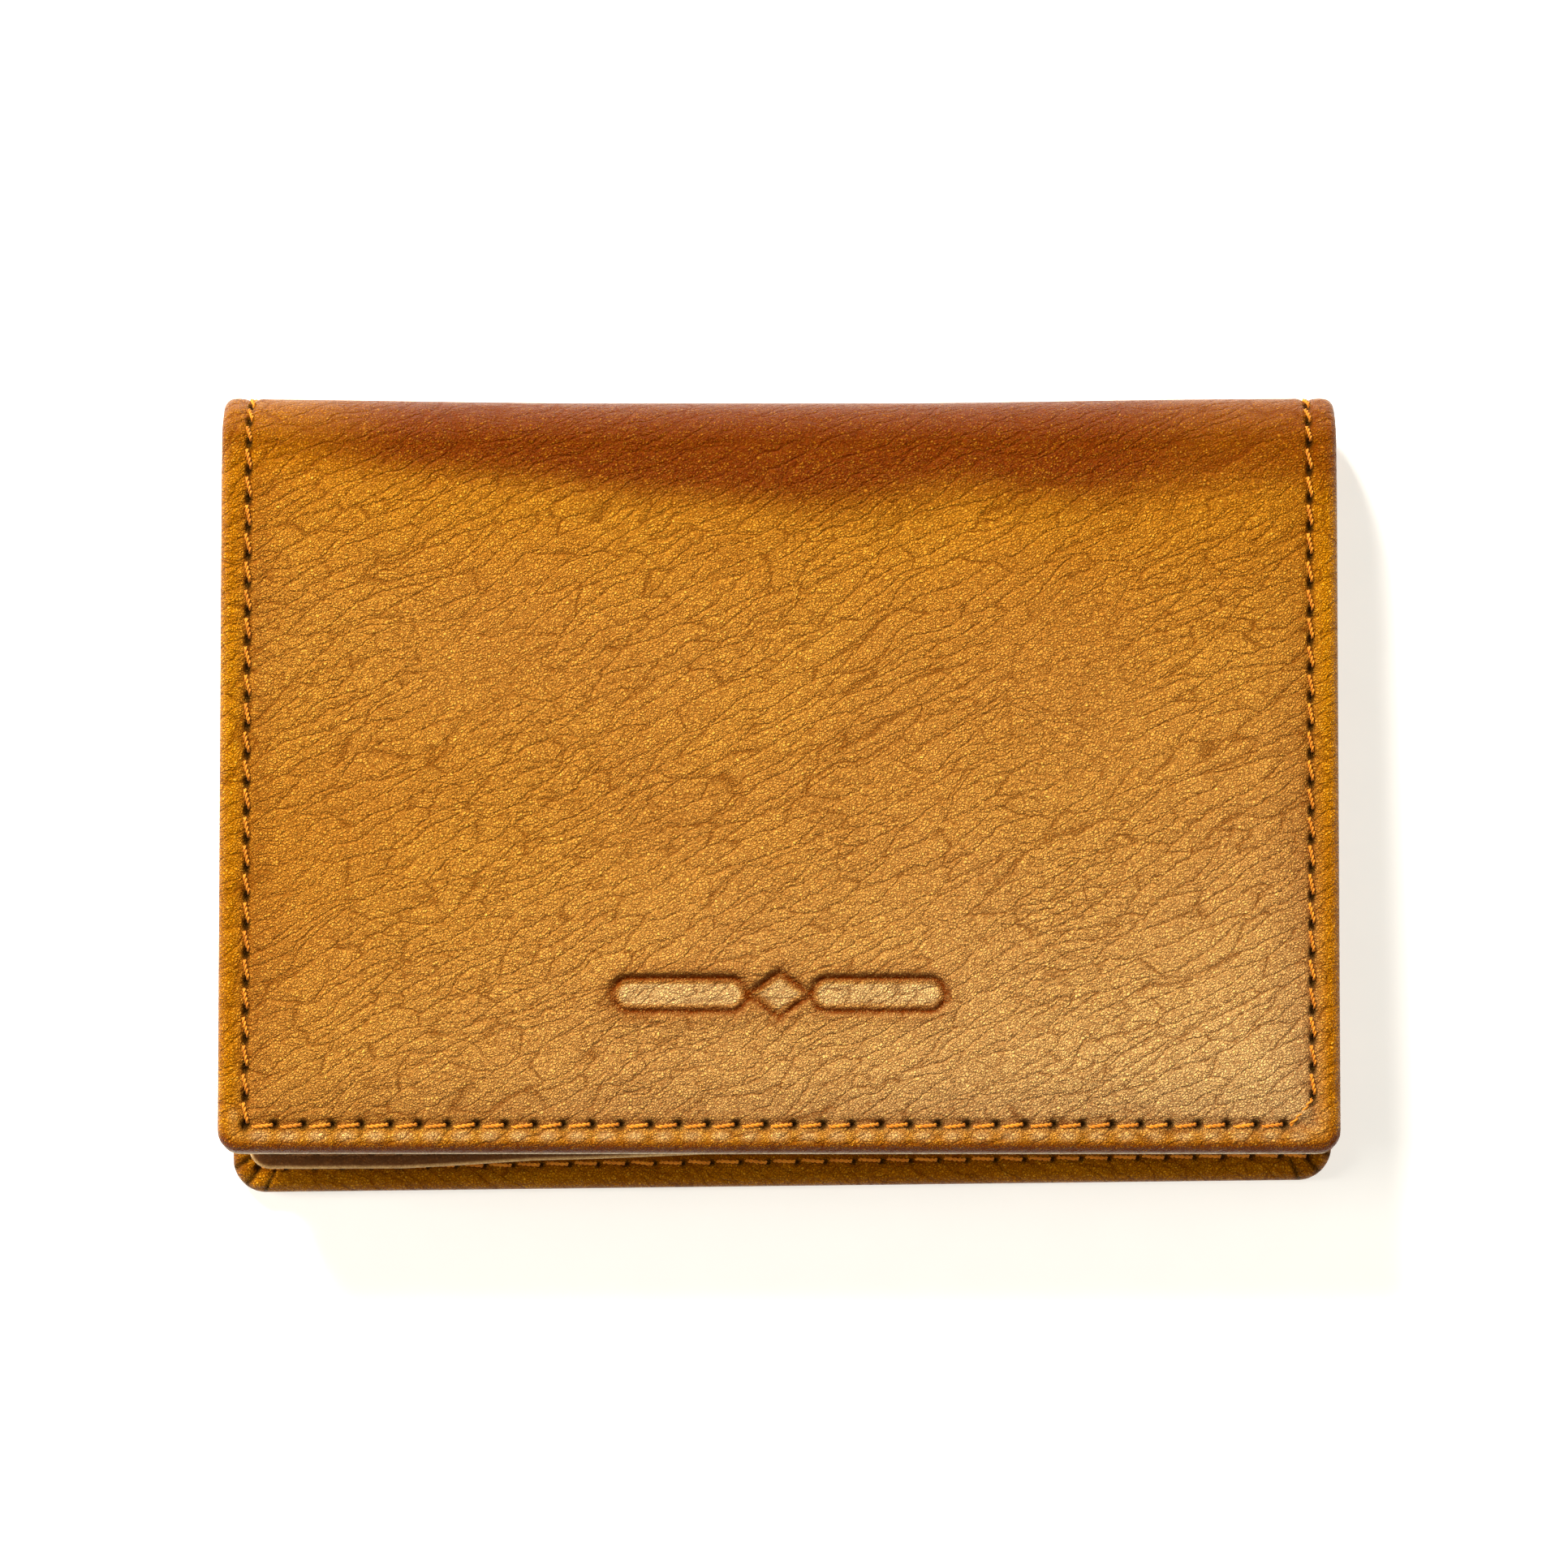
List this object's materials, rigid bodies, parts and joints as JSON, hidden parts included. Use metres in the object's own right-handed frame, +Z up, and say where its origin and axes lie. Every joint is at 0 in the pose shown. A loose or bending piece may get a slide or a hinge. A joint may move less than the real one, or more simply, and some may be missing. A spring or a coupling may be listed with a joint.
{
  "type": "bifold card holder",
  "caption": "Closed bifold leather card holder with a rounded fold, stitched stiffened leaves, inner card slots and a loose centre flap with a clear window.",
  "frame": {"origin": "middle of the underside of the closed holder's bounding box, on the surface it lies on", "axes": "+X across the leaves along the fold, +Y towards the fold, +Z up from the rear cover to the front cover"},
  "size_m": [0.105, 0.0752, 0.013],
  "materials": {
    "outer_leather": "semi-gloss, fine grain",
    "lining_leather": "smooth, matt",
    "pale_leather": "smooth, matt, with a pale raw edge",
    "pocket_fabric": "plain weave",
    "thread": "twisted, slight sheen",
    "board": "matt",
    "foam": "matt, open cell",
    "clear_film": "clear, gloss"
  },
  "bodies": {
    "rear_leaf": {"rear_cover": "outer_leather", "rear_stiffener": "board", "rear_lining": "lining_leather", "rear_slot_panel_a": "outer_leather", "rear_slot_backing": "pocket_fabric", "rear_slot_panel_b": "outer_leather", "rear_edge_stitching": "thread", "rear_slot_stitching": "thread", "flap_hinge_strip": "lining_leather"},
    "spine_lower": {"spine_cover_lower": "outer_leather", "spine_lining_lower": "lining_leather", "spine_stitching_lower": "thread"},
    "spine_mid_lower": {"spine_cover_mid_lower": "outer_leather", "spine_lining_mid_lower": "lining_leather", "spine_stitching_mid_lower": "thread"},
    "spine_mid_upper": {"spine_cover_mid_upper": "outer_leather", "spine_lining_mid_upper": "lining_leather", "spine_stitching_mid_upper": "thread"},
    "spine_upper": {"spine_cover_upper": "outer_leather", "spine_lining_upper": "lining_leather", "spine_stitching_upper": "thread"},
    "front_leaf": {"front_cover": "outer_leather", "front_padding": "foam", "front_stiffener": "board", "front_lining": "pale_leather", "front_slot_panel_a": "outer_leather", "front_slot_backing": "pocket_fabric", "front_slot_panel_b": "outer_leather", "front_edge_stitching": "thread", "front_slot_stitching": "thread"},
    "centre_flap": {"flap_back_panel": "lining_leather", "flap_window": "clear_film", "flap_front_panel": "outer_leather", "flap_stitching": "thread"}
  },
  "joints": [
    {"name": "fold_lower", "type": "hinge", "parent": "rear_leaf", "child": "spine_lower", "pos_m": [0, 0.03285, 0], "axis": [-1, 0, 0], "range_deg": [0, 22.12]},
    {"name": "fold_mid_lower", "type": "hinge", "parent": "spine_lower", "child": "spine_mid_lower", "pos_m": [0, 0.03613, 0.00133], "axis": [-1, 0, 0], "range_deg": [0, 44.25]},
    {"name": "fold_middle", "type": "hinge", "parent": "spine_mid_lower", "child": "spine_mid_upper", "pos_m": [0, 0.03755, 0.00458], "axis": [-1, 0, 0], "range_deg": [0, 44.25]},
    {"name": "fold_mid_upper", "type": "hinge", "parent": "spine_mid_upper", "child": "spine_upper", "pos_m": [0, 0.0363, 0.00789], "axis": [-1, 0, 0], "range_deg": [0, 44.25]},
    {"name": "fold_upper", "type": "hinge", "parent": "spine_upper", "child": "front_leaf", "pos_m": [0, 0.0331, 0.0094], "axis": [-1, 0, 0], "range_deg": [0, 22.12]},
    {"name": "flap_hinge", "type": "hinge", "parent": "rear_leaf", "child": "centre_flap", "pos_m": [0, 0.03055, 0.00436], "axis": [-1, 0, 0], "range_deg": [0, 88.5]}
  ],
  "couplings": [
    {"joint": "fold_mid_lower", "follows": "fold_lower", "ratio": 2},
    {"joint": "fold_middle", "follows": "fold_lower", "ratio": 2},
    {"joint": "fold_mid_upper", "follows": "fold_lower", "ratio": 2},
    {"joint": "fold_upper", "follows": "fold_lower", "ratio": 1},
    {"joint": "flap_hinge", "follows": "fold_lower", "ratio": 4}
  ]
}
